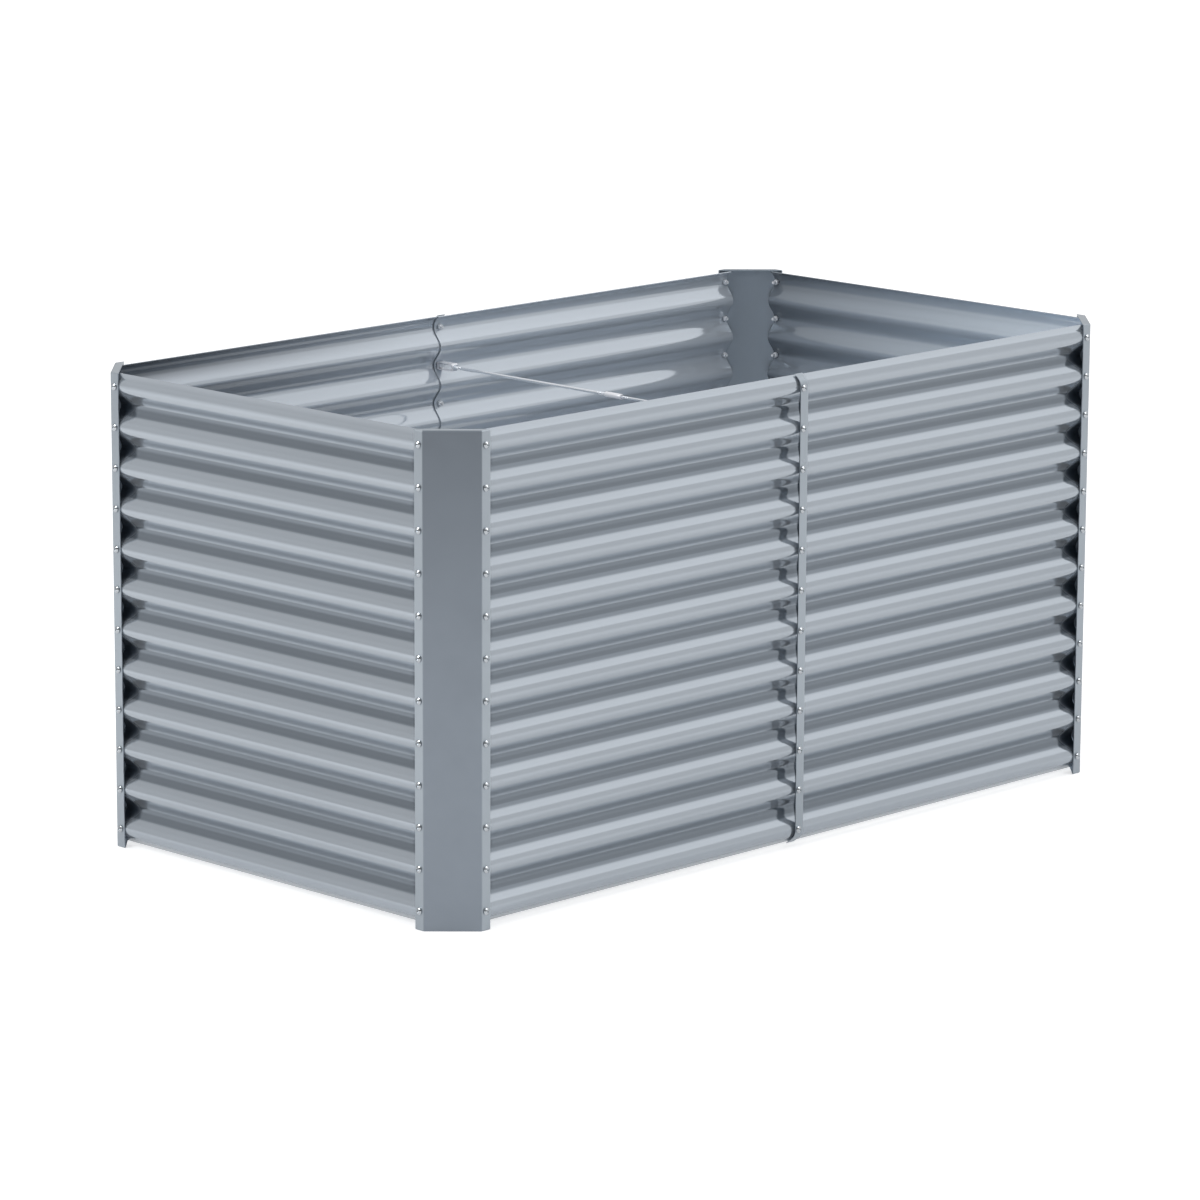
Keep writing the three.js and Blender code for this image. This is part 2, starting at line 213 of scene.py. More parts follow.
@dataclass(frozen=True)
class Wave:
    """The wall sheet's round waves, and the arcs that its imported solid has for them."""

    bed: Bed = Bed()
    sheet: float = 1.0 * MM
    crests: int = 12
    depth: float = 13.0 * MM
    first_drop: float = 17.3 * MM
    last_rise: float = 23.9 * MM
    top_drop: float = 2.4 * MM
    bottom_rise: float = 5.6 * MM
    cover: float = 1.2 * MM  # room for the post or strip outside the sheet
    least_straight: float = 0.1 * MM  # a shorter straight end is left out
    arc_steps: int = 9
    wave_steps: int = 44

    @property
    def pitch(self) -> float:
        """Height from one crest to the next."""
        run = self.bed.height - self.first_drop - self.last_rise
        return run / (self.crests - 1)

    @property
    def lean(self) -> float:
        """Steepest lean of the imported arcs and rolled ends: twice atan(2 depth / pitch)."""
        return 2.0 * math.atan(2.0 * self.depth / self.pitch)

    @property
    def radius(self) -> float:
        """Radius of the middle of the sheet: the pitch over four sines of the lean."""
        return self.pitch / (4.0 * math.sin(self.lean))

    def crest_height(self, index: int) -> float:
        """Height of a crest, counted from the top."""
        return self.bed.height - self.first_drop - index * self.pitch

    def face(self, lap: Lap) -> float:
        """Depth of a panel's outer face below the wall plane.

        Nested waves touch on their slopes first, so an inner panel lies deeper by the
        sheet and its gap over the cosine of the lean.
        """
        outer = self.cover + self.bed.seat_gap
        step = (self.sheet + self.bed.seat_gap) / math.cos(self.lean)
        return outer + (step if lap is Lap.INNER else 0.0)

    def hollow_seat(self, half_height: float) -> float:
        """How deep a flat piece of that half height sits in a crest's hollow."""
        inside = self.radius - self.sheet / 2.0
        facet = inside * (1.0 - math.cos(self.lean / 4.0))
        return inside - math.sqrt(inside**2 - half_height**2) + facet + self.bed.seat_gap


# ---------- sheet profiles


def arc_stations(centre: Array, radius: float, lean: Array) -> Array:
    """Points of a sheet on an arc, with its lean there.

    Depth is the centre's less radius times cos(lean), and height is the centre's less
    radius times sin(lean).

    Returns:
        Depth, height and lean of each point, shaped (points, 3).
    """
    depth = centre[..., 0] - radius * np.cos(lean)
    height = centre[..., 1] - radius * np.sin(lean)
    return np.stack([depth, height, lean], axis=-1)


def with_rolled_ends(wave: Wave, middle: Array, radius: float, reach: float = 0.0) -> Array:
    """Adds the ends of a sheet to its stations from the first crest to the last one.

    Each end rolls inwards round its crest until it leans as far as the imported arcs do,
    and then runs on straight to its edge.

    Args:
        wave: The waves of the panels.
        middle: The stations between the ends.
        radius: Radius of the middle of the sheet round the crests.
        reach: How far its edges lie beyond the panels'.
    """
    runs = (wave.first_drop - wave.top_drop + reach, wave.last_rise - wave.bottom_rise + reach)
    ends = []
    for side, crest, run in zip((1.0, -1.0), middle[[0, -1], :2], runs):
        lean = min(wave.lean, math.asin(min(1.0, run / radius)))
        straight = (run - radius * math.sin(lean)) / math.cos(lean)
        leans = -side * lean * np.arange(wave.arc_steps, 0, -1) / wave.arc_steps
        arc = arc_stations(crest + [radius, 0.0], radius, leans)
        end = arc[:1] + [[straight * math.sin(lean), side * straight * math.cos(lean), 0.0]]
        ends.append(np.concatenate([end, arc]) if straight > wave.least_straight else arc)
    return np.concatenate([ends[0], middle, ends[1][::-1]])


def panel_path(wave: Wave, lap: Lap) -> Array:
    """Stations of a wall panel's middle, from its top edge to its bottom edge.

    Between the first crest and the last one the depth is half the wave's depth times
    one less the cosine of the phase, which grows by a turn in each pitch. The tangent
    of the lean is pi times the wave's depth over the pitch, times the phase's sine.
    """
    turn = np.arange(wave.wave_steps * (wave.crests - 1) + 1) / wave.wave_steps
    phase = 2.0 * np.pi * turn
    depth = wave.face(lap) + wave.sheet / 2.0 + wave.depth / 2.0 * (1.0 - np.cos(phase))
    height = wave.crest_height(0) - wave.pitch * turn
    lean = np.arctan(np.pi * wave.depth / wave.pitch * np.sin(phase))
    return with_rolled_ends(wave, np.stack([depth, height, lean], axis=-1), wave.radius)


def carried_sheet(
    path: Array, sheet: float, x0: Array | float, x1: float, chamfer: float, columns: Sizes = ()
) -> Array:
    """A flat strip's section carried along a path in the depth and height plane.

    The section is a rectangle from x0 to x1 and of the sheet's thickness, with its four
    corners cut by the chamfer. Its thickness runs along the path's normal, which leans
    with it. x0 can change from station to station. Columns add points across the outer
    face at their own x.

    Returns:
        Points shaped (stations, points, 3): the outer face from x0 to x1, and then the
        inner face back from x1 to x0.
    """
    start = x0 + np.zeros(len(path))
    end = np.full(len(path), x1)
    across = [np.full(len(path), column) for column in columns]
    outer = [start, start + chamfer, *across, end - chamfer, end]
    x = np.stack([*outer, end, end - chamfer, start + chamfer, start], -1)
    side = np.array([1.0] * len(outer) + [-1.0] * INNER_POINTS)
    out = np.tile(side * sheet / 2.0, (len(path), 1))
    out[:, [0, len(outer) - 1]] -= chamfer
    out[:, [len(outer), -1]] += chamfer
    depth = path[:, :1] - out * np.cos(path[:, 2:])
    height = path[:, 1:2] - out * np.sin(path[:, 2:])
    return np.stack([x, depth, height], axis=-1)


# ---------- pieces


@dataclass(frozen=True)
class CornerPost:
    """A post folded across the corner, with a flange along each wall and a lip at each end."""

    bed: Bed = Bed()
    sheet: float = 1.2 * MM
    fold: float = 49.0 * MM
    flange: float = 13.5 * MM
    bolt_from_fold: float = 6.5 * MM
    fold_radius: float = 2.2 * MM
    lip_radius: float = 1.6 * MM
    # share of the folded face's painted shade that the inner side of the sheet takes
    inner_tone: float = 0.25
    bend_steps: int = 5

    @property
    def bolt_from_corner(self) -> float:
        """Distance of the bolt column from the corner of the two wall planes."""
        return self.fold + self.bolt_from_fold

    def outline(self) -> tuple[Array, Array]:
        """The outer outline in the corner's frame, with the inward normal at each point.

        Each fold turns by 45 degrees, in an arc of the fold radius that touches the
        flange and the face. A point on it is its centre less the radius times the normal.
        """
        end = self.fold + self.flange
        setback = self.fold_radius * math.tan(math.pi / 8.0)
        angle = np.linspace(math.pi / 2.0, math.pi / 4.0, self.bend_steps)
        normal = np.stack([np.cos(angle), np.sin(angle)], axis=-1)
        arc = [self.fold + setback, self.fold_radius] - self.fold_radius * normal
        points = np.concatenate([[[end, 0.0]], arc, arc[::-1, ::-1], [[0.0, end]]])
        normals = np.concatenate([[[0.0, 1.0]], normal, normal[::-1, ::-1], [[1.0, 0.0]]])
        return points, normals

    def rows(self, inset: float) -> Array:
        """Inset and height of each row of one face of the sheet, from bottom to top.

        Each lip bends in round a quarter circle, whose radius is less on the inner face.
        """
        angle = np.linspace(0.0, math.pi / 2.0, self.bend_steps)
        radius = self.lip_radius - inset
        rise = self.lip_radius - radius * np.stack([np.sin(angle), np.cos(angle)], axis=-1)
        fall = rise[::-1] * [1.0, -1.0] + [0.0, self.bed.height]
        return np.concatenate([rise, fall])

    def shell(self) -> tuple[Array, Faces]:
        """The closed shell: outer and inner faces, four lip faces and the cut edges."""
        outline, normals = self.outline()
        layers = []
        for inset in (0.0, self.sheet):
            row = self.rows(inset)
            flat = outline + normals * row[:, None, :1]
            height = np.broadcast_to(row[:, None, 1:], flat.shape[:2] + (1,))
            layers.append(np.concatenate([flat, height], axis=-1))
        points = np.stack(layers)
        index = np.arange(points[..., 0].size).reshape(points.shape[:3])
        faces = quads(index[:, :-1, :-1], index[:, :-1, 1:], index[:, 1:, 1:], index[:, 1:, :-1])
        ends = index[:, :, [0, -1]]
        faces += quads(ends[0, :-1], ends[0, 1:], ends[1, 1:], ends[1, :-1])
        chords = index[:, [0, -1]][:, :, [0, -1]]
        faces += quads(chords[0, :, 0], chords[0, :, 1], chords[1, :, 1], chords[1, :, 0])
        faces += index[:, [0, -1]].reshape(4, -1).tolist()
        return points.reshape(-1, 3), faces

    def face_share(self) -> Array:
        """Where the folded face's painted shade lies: 1 on the folded face and 0 on the flanges,
        changing over each fold.

        On the inner side of the sheet these values are times the inner tone.
        """
        share = np.linspace(0.0, 1.0, self.bend_steps)
        across = np.concatenate([[0.0], share, share[::-1], [0.0]])
        outer = np.tile(across, len(self.rows(0.0)))
        return np.concatenate([outer, self.inner_tone * outer])

    def pieces(self) -> list[Piece]:
        """The four posts, a quarter turn from one to the next."""
        points, faces = self.shell()
        half_x, half_y = self.bed.length / 2.0, self.bed.width / 2.0
        corners = (
            ("front_left", (-half_x, -half_y)),
            ("front_right", (half_x, -half_y)),
            ("back_right", (half_x, half_y)),
            ("back_left", (-half_x, half_y)),
        )
        return [
            Piece(
                f"corner_post_{name}",
                Wall(name, self.bed.length, corner, quarter * math.pi / 2.0).place(points),
                faces,
                (f"post_{name}",),
                # painted shade: the folded face is darker than the flanges
                tones={"hollow": self.face_share()},
            )
            for quarter, (name, corner) in enumerate(corners)
        ]


def eased(values: Array, low: float, high: float) -> Array:
    """0 below the low value, 1 above the high one, and a smooth step between them."""
    share = np.clip((values - low) / (high - low), 0.0, 1.0)
    return share * share * (3.0 - 2.0 * share)


@dataclass(frozen=True)
class Cladding:
    """The wall panels and the strips over their seams."""

    bed: Bed = Bed()
    wave: Wave = Wave()
    post: CornerPost = CornerPost()
    end_clearance: float = 1.5 * MM
    strip_sheet: float = 0.9 * MM
    strip_before_bolt: float = 4.8 * MM
    strip_after_bolt: float = 8.7 * MM
    strip_reach: float = 1.4 * MM
    lap_after_bolt: float = 8.7 * MM
    front_lap_after_bolt: float = 13.5 * MM
    edge_chamfer: float = 0.2 * MM
    lap_notch: float = 3.4 * MM  # from the strip's edge to the outer panel's on a crest
    lap_retreat: float = 8.6 * MM  # how much further that edge is in a valley
    front_lap_retreat: float = 12.9 * MM
    shade_below: Span = (0.53, 0.68)  # shares of the depth over which painted shade grows, on a valley's lower side
    shade_above: Span = (0.9, 0.965)  # and on its upper side
    # painted shade in the valleys under and beside the flanges
    shade_reach: float = 21.0 * MM
    shade_fade: float = 14.0 * MM
    shade_columns: Sizes = (-8 * MM, 0.0, 4 * MM, 8 * MM, 12 * MM, 16 * MM, 21 * MM)
    far_shade: float = 0.85
    side_shade: float = 0.78
    long_even: float = 0.25  # share of the shade where a face isn't dimmed
    short_even: float = 0.85
    dim_leans: Span = (-12.0, 14.0)  # degrees
    dim_top: float = 0.35  # share of the pitch below the first crest

    def sinking(self, path: Array, lap: Lap) -> Array:
        """How deep each station lies in a valley: 0 on a crest and 1 at the bottom."""
        wave = self.wave
        sunk = (path[:, 0] - wave.face(lap) - wave.sheet / 2.0) / wave.depth
        between = (path[:, 1] < wave.crest_height(0)) & (
            path[:, 1] > wave.crest_height(wave.crests - 1)
        )
        return np.where(between, np.clip(sunk, 0.0, 1.0), 0.0)

    def flange_edge(self, wall: Wall) -> float:
        """Distance of the flanges' edges from a wall's middle."""
        return wall.length / 2.0 - self.post.fold - self.post.flange

    def tones(self, wall: Wall, lap: Lap, path: Array, x: Array, shade: Span) -> dict[str, Array]:
        """Where painted shade lies on a panel, and where its inner face is.

        The outer valleys are painted darker as shade, further up on the side that faces the sky.
        Painted shade fills a valley under the flanges and up to a reach beyond them that grows with
        its depth.
        On the inner face the shade runs from one end's value to the other's. It is full
        along the top and where the sheet faces down, and the even share elsewhere.

        Args:
            wall: The panel's wall.
            lap: Which panel of a lap it is.
            path: Its stations.
            x: Place of each point along the wall, shaped (stations, points).
            shade: Shade at the left and right end of its inner face.

        Returns:
            The tones by name, each shaped as x.
        """
        sunk = self.sinking(path, lap)[:, None]
        lean, height = path[:, 2:], path[:, 1:2]
        outer = x.shape[1] - INNER_POINTS
        left_end = outer + INNER_POINTS // 2
        face = slice(1, outer - 1)
        hollow, nook, inside = (np.zeros(x.shape) for _ in range(3))
        # painted shade in the outer valleys, reaching higher on the slope that faces the sky
        hollow[:, face] = np.where(
            lean < 0.0, eased(sunk, *self.shade_below), eased(sunk, *self.shade_above)
        )
        # painted shade fills the valleys under the flanges and beyond them
        inward = self.flange_edge(wall) - np.abs(x[:, face])
        painted_nook = eased(self.shade_reach * sunk - inward, 0.0, self.shade_fade)
        nook[:, face] = painted_nook * (sunk > 0.0)
        first = self.wave.crest_height(0)
        dim = np.maximum(
            eased(-lean, *np.radians(self.dim_leans)),
            eased(height, first - self.dim_top * self.wave.pitch, first),
        )
        even = self.long_even if wall.long else self.short_even
        dim = even + (1.0 - even) * dim
        nook[:, outer:left_end] = dim * shade[1]
        nook[:, left_end:] = dim * shade[0]
        # the inner face takes the lighter inside colour, which is painted light
        inside[:, outer:] = 1.0
        return {"hollow": hollow, "nook": nook, "inside": inside}

    def panel(self, wall: Wall, names: tuple[str, str], lap: Lap, span: Span, shade: Span) -> Piece:
        """One wall panel over a span along its wall.

        The outer panel of a lap starts under the strip on the crests and further on in
        the valleys, so that its edge shows in no valley on the strip's left.

        Args:
            wall: The wall it is on.
            names: The piece's name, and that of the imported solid.
            lap: Which panel of a lap it is.
            span: Its ends along the wall.
            shade: Shade at the left and right end of its inner face.
        """
        path = panel_path(self.wave, lap)
        left, right = span
        start: Array | float = left
        if wall.long and lap is Lap.OUTER:
            retreat = self.front_lap_retreat if wall.name == "front" else self.lap_retreat
            start = left + self.lap_notch + retreat * self.sinking(path, lap)
        edge = self.flange_edge(wall)
        columns = [end * (edge - inward) for end in (-1.0, 1.0) for inward in self.shade_columns]
        shown = tuple(sorted(x for x in columns if left < x < right))
        points = carried_sheet(path, self.wave.sheet, start, right, self.edge_chamfer, shown)
        tones = self.tones(wall, lap, path, points[..., 0], shade)
        name, node = names
        return Piece(name, *skin(wall.place(points)), nodes=(node,), tones=tones)

    def strip(self, wall: Wall) -> Piece:
        """The flat strip over a seam, whose ends roll in with the panels'."""
        wave = self.wave
        middle = self.strip_sheet / 2.0
        radius = wave.radius + wave.sheet / 2.0 + self.bed.seat_gap + middle
        crests = (wave.crest_height(0), wave.crest_height(wave.crests - 1))
        flat = np.array([[middle, height, 0.0] for height in crests])
        path = with_rolled_ends(wave, flat, radius, self.strip_reach)
        ends = (-self.strip_before_bolt, self.strip_after_bolt)
        points = carried_sheet(path, self.strip_sheet, *ends, self.edge_chamfer)
        nodes = (f"seam_strip_{wall.name}",)
        return Piece(f"strip_{wall.name}", *skin(wall.place(points)), nodes)

    def panels(self, wall: Wall) -> list[Piece]:
        """A short wall's panel, or a long wall's two, whose right one laps over the left."""
        end = wall.length / 2.0 - self.post.fold - self.end_clearance
        if not wall.long:
            names = (f"wave_{wall.name}", f"panel_side_{wall.name}")
            shade = self.side_shade if wall.name == "right" else 0.0
            return [self.panel(wall, names, Lap.OUTER, (-end, end), (0.0, shade))]
        back = wall.name == "back"
        under = self.lap_after_bolt if back else self.front_lap_after_bolt
        far = self.far_shade if back else 0.0
        layouts = (
            (Lap.INNER, (-end, under), (0.0, 0.0)),
            (Lap.OUTER, (-self.strip_before_bolt, end), (0.0, far)),
        )
        return [
            self.panel(wall, (f"wave_{wall.name}_{side}", f"panel_{wall.name}_{side}"), *layout)
            for side, layout in zip(wall.ends, layouts)
        ]


@dataclass(frozen=True)
class Fasteners:
    """The bolts and nuts: one pair at each crest of each post flange and of each seam."""

    bed: Bed = Bed()
    wave: Wave = Wave()
    shank_radius: float = 2.0 * MM
    bolt_length: float = 12.0 * MM
    head_radius: float = 4.5 * MM
    head_height: float = 2.8 * MM
    dome_ring: float = 0.72  # share of the head's radius
    dome_drop: float = 0.86  # see bolt
    socket_flat: float = 1.25 * MM
    socket_depth: float = 1.3 * MM
    nut_flat: float = 3.5 * MM
    nut_height: float = 3.2 * MM
    nut_chamfer: float = 0.35 * MM
    nut_rim: float = 0.1 * MM  # from the flats out to the chamfer's rim
    sides: int = 12
    sharp_angle: float = 28.0  # degrees

    def bolt(self) -> Array:
        """A button-head bolt with a hexagon socket, along the depth axis.

        The head is domed: at a share s of its radius it stands by its height times the
        square root of (1 - dome_drop s squared) above its seat.
        """
        seat = -self.bed.seat_gap
        top = seat - self.head_height
        socket = hexagon(self.socket_flat, self.sides)
        ring, drop = self.dome_ring, self.dome_drop
        rings = [
            (socket, top + self.socket_depth),
            (socket, top),
            (ring * self.head_radius, seat - self.head_height * math.sqrt(1.0 - drop * ring**2)),
            (self.head_radius, seat - self.head_height * math.sqrt(1.0 - drop)),
            (self.head_radius, seat),
            (self.shank_radius, seat),
            (self.shank_radius, seat + self.bolt_length),
        ]
        return turned(rings, self.sides)

    def nut(self, bore: float, flat: float, height: float) -> Array:
        """A hexagon nut from depth 0 to its height, with its far corners cut."""
        hexed = hexagon(flat, self.sides)
        rings = [
            (bore, 0.0),
            (hexed, 0.0),
            (hexed, height - self.nut_chamfer),
            (np.minimum(hexed, flat + self.nut_rim), height),
            (bore, height),
        ]
        return turned(rings, self.sides)

    def seat(self, lap: Lap) -> float:
        """Depth of a nut's seat in the hollow of a crest."""
        return self.wave.face(lap) + self.wave.sheet + self.wave.hollow_seat(self.nut_flat)

    def column(
        self, wall: Wall, label: str, x: float, seats: list[float], named: dict[int, str]
    ) -> list[Piece]:
        """A column of bolts with their nuts, one pair at each crest.

        Args:
            wall: Their wall.
            label: The column's name.
            x: Its place along the wall.
            seats: Depth of each nut's seat, from the top crest down.
            named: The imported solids' level names, by crest.
        """
        made = []
        bolt = self.bolt()
        nut = self.nut(self.shank_radius, self.nut_flat, self.nut_height)
        for crest, seat in enumerate(seats):
            height = self.wave.crest_height(crest)
            level = named.get(crest)
            for kind, shape, depth in (("bolt", bolt, 0.0), ("nut", nut, seat)):
                placed = wall.place(shape + [x, depth, height])
                piece = Piece(
                    f"{kind}_{label}_{crest + 1:02d}",
                    *skin(placed, kind == "nut"),
                    (f"{kind}_{label}_{level}",) if level else (),
                    sharp_angle=self.sharp_angle,
                    # the part inside the bed takes the lighter inside colour, which is painted
                    # light
                    tones={"inside": (shape[..., 1] > 0.0).astype(float)},
                )
                made.append(piece)
        return made


@dataclass(frozen=True)
class TieRod:
    """The rod across the middle: a strap bracket on each seam, two rods and a sleeve."""

    bed: Bed = Bed()
    wave: Wave = Wave()
    screws: Fasteners = Fasteners()
    crest: int = 1
    bracket_length: float = 28.0 * MM
    bracket_width: float = 10.0 * MM
    bracket_sheet: float = 1.2 * MM
    bracket_bend: float = 1.9 * MM  # outside radius
    bracket_room: float = 3.8 * MM  # half the height inside the strap
    edge_chamfer: float = 0.15 * MM
    back_radius: float = 2.0 * MM
    front_radius: float = 1.5 * MM
    shoulder: float = 1.2 * MM
    rod_head: float = 2.5 * MM
    rod_end_gap: float = 1.0 * MM
    head_chamfer: float = 0.3 * MM
    tip_chamfer: float = 0.4 * MM
    thread_start: float = 0.1 * MM  # from the bracket
    thread_length: float = 26.0 * MM
    thread_pitch: float = 0.7 * MM
    thread_depth: float = 0.3 * MM
    thread_fade: float = 3.0  # turns
    thread_steps: int = 6  # in a turn
    jam_nut: float = 3.0 * MM
    nut_wall: float = 1.5 * MM
    sleeve_length: float = 28.0 * MM
    sleeve_wall: float = 1.2 * MM
    sleeve_clearance: float = 0.3 * MM
    sleeve_chamfer: float = 0.5 * MM
    sleeve_round: float = 0.29  # share of the chamfer that its middle ring is set in by
    mouth_step: float = 0.4 * MM
    mouth_depth: float = 2.5 * MM
    bend_steps: int = 6
    sides: int = 24
    sharp_angle: float = 40.0  # degrees

    @property
    def seat(self) -> float:
        """Depth of the bracket's near end, in the hollow of the inner panel's crest."""
        half = self.bracket_room + self.bracket_sheet
        return self.wave.face(Lap.INNER) + self.wave.sheet + self.wave.hollow_seat(half)

    @property
    def end(self) -> float:
        """Depth of the bracket's far end."""
        return self.seat + self.bracket_length

    @property
    def height(self) -> float:
        """Height of the rod."""
        return self.wave.crest_height(self.crest)

    def bracket(self) -> Array:
        """A strap carried round a long loop with four round bends."""
        half = self.bracket_room + self.bracket_sheet
        radius = self.bracket_bend - self.bracket_sheet / 2.0
        quarter = np.linspace(0.0, math.pi / 2.0, self.bend_steps)
        angle = np.concatenate([quarter + turn * math.pi / 2.0 for turn in range(4)])
        near, far = self.seat + self.bracket_bend, self.end - self.bracket_bend
        straight = half - self.bracket_bend
        bends = [[far, straight], [near, straight], [near, -straight], [far, -straight]]
        centre = np.repeat(bends, self.bend_steps, axis=0)
        path = arc_stations(centre, radius, angle + math.pi)
        width = self.bracket_width / 2.0
        return carried_sheet(path, self.bracket_sheet, -width, width, self.edge_chamfer)

    def threaded(self, radius: float, start: float, stop: float, side: int) -> Rings:
        """A single-start thread on a rod, along the depth axis.

        The radius falls by the thread's depth times a triangle wave of the phase, which
        is the depth over the pitch less the share of a turn.

        Args:
            radius: The rod's radius.
            start: Depth at which the thread begins.
            stop: Depth at which it ends.
            side: 1 if it fades out towards its stop, and -1 if towards its start.
        """
        turns = int(round(abs(stop - start) / self.thread_pitch))
        depth = np.linspace(start, stop, self.thread_steps * turns)[:, None]
        share = np.arange(self.sides)[None, :] / self.sides
        phase = (depth / self.thread_pitch - share) % 1.0
        groove = 1.0 - np.abs(2.0 * phase - 1.0)
        run = stop - depth if side > 0 else depth - start
        fade = np.clip(run / (self.thread_fade * self.thread_pitch), 0.0, 1.0)
        return list(zip(radius - self.thread_depth * fade * groove, depth[:, 0]))

    def rod(self, radius: float) -> Array:
        """A headed rod, from inside its bracket to inside the sleeve, threaded at both ends."""
        seat = self.end - self.bracket_sheet - self.bed.seat_gap
        head = seat - self.rod_head
        rim = radius + self.shoulder
        tip = self.bed.width / 2.0 - self.rod_end_gap
        near_end = self.end + self.thread_length / 2.0
        rings = [
            (rim - self.head_chamfer, head),
            (rim, head + self.head_chamfer),
            (rim, seat),
            (radius, seat),
            *self.threaded(radius, self.end + self.thread_start, near_end, 1),
            *self.threaded(radius, tip - self.thread_length, tip - self.tip_chamfer, -1),
            (radius - self.tip_chamfer, tip),
        ]
        return turned(rings, self.sides)

    def sleeve(self) -> Array:
        """The tube that joins the rods, with a wider mouth at its front end."""
        half = self.sleeve_length / 2.0
        back = self.back_radius + self.sleeve_clearance
        front = self.front_radius + self.sleeve_clearance
        mouth, outer = back + self.mouth_step, back + self.sleeve_wall
        cut = self.sleeve_chamfer
        middle = self.sleeve_round * cut
        rings = [
            (mouth, -half),
            (outer - cut, -half),
            (outer - middle, middle - half),
            (outer, cut - half),
            (outer, half - cut),
            (outer - middle, half - middle),
            (outer - cut, half),
            (back, half),
            (back, 0.0),
            (front, 0.0),
            (front, self.mouth_depth - half),
            (mouth, self.mouth_depth - half),
        ]
        return turned(rings, self.sides)

    def half(self, wall: Wall) -> list[Piece]:
        """The bracket, rod and jam nut on one wall."""
        radius = self.front_radius if wall.name == "front" else self.back_radius
        lift = [0.0, 0.0, self.height]
        nut = self.screws.nut(radius, radius + self.nut_wall, self.jam_nut)
        nut_place = [0.0, self.end + self.bed.seat_gap, self.height]
        shapes = (
            ("bracket", self.bracket() + lift, True),
            ("rod", self.rod(radius) + lift, False),
            ("jam_nut", nut + nut_place, True),
        )
        return [
            Piece(
                f"tie_{kind}_of_{wall.name}",
                *skin(wall.place(shape), wrap),
                (f"tie_{kind}_{wall.name}",),
                sharp_angle=self.sharp_angle,
            )
            for kind, shape, wrap in shapes
        ]

    def joining_sleeve(self) -> Piece:
        """The sleeve at the middle of the bed, which turns to draw the rods together."""
        shape = self.sleeve() + [0.0, 0.0, self.height]
        nodes = ("tie_sleeve",)
        return Piece("tie_joining_sleeve", *skin(shape, True), nodes, "sleeve", self.sharp_angle)


# ---------- shader helpers

Tree = bpy.types.NodeTree
Socket = bpy.types.NodeSocket
Feed = Socket | float | Sizes
MIX_SHARE, MIX_FIRST, MIX_SECOND, MIX_RESULT = 0, 6, 7, 2  # sockets of a mix of colours


def feed(tree: Tree, node: bpy.types.Node, inputs: dict[str | int, Feed]) -> None:
    """Sets inputs of a node, each to a value or to the socket that it is linked to."""
    for name, value in inputs.items():
        if isinstance(value, Socket):
            tree.links.new(value, node.inputs[name])
        else:
            node.inputs[name].default_value = value


def add_node(tree: Tree, kind: str, inputs: dict[str | int, Feed]) -> bpy.types.Node:
    """Adds a shader node of a kind, such as Bump, and sets inputs of it."""
    node = tree.nodes.new(f"ShaderNode{kind}")
    feed(tree, node, inputs)
    return node


def arithmetic(tree: Tree, operation: str, *terms: Feed, clamp: bool = False) -> Socket:
    """One step of arithmetic, such as MULTIPLY_ADD, on sockets and numbers."""
    step = tree.nodes.new("ShaderNodeMath")
    step.operation = operation
    step.use_clamp = clamp
    feed(tree, step, dict(enumerate(terms)))
    return step.outputs["Value"]


def mixed(tree: Tree, share: Socket, first: Feed, second: Feed) -> Socket:
    """A colour that goes from the first to the second one with the share."""
    mix = tree.nodes.new("ShaderNodeMix")
    mix.data_type = "RGBA"
    feed(tree, mix, {MIX_SHARE: share, MIX_FIRST: first, MIX_SECOND: second})
    return mix.outputs[MIX_RESULT]


def noise(tree: Tree, place: Socket, scale: float, detail: float) -> Socket:
    """A cloud noise, with that many cells in a metre."""
    inputs = {"Vector": place, "Scale": scale, "Detail": detail}
    return add_node(tree, "TexNoise", inputs).outputs["Fac"]


def tone(tree: Tree, name: str) -> Socket:
    """A tone that the pieces carry on their points."""
    attribute = add_node(tree, "Attribute", {})
    attribute.attribute_name = name
    return attribute.outputs["Fac"]


# ---------- finishes


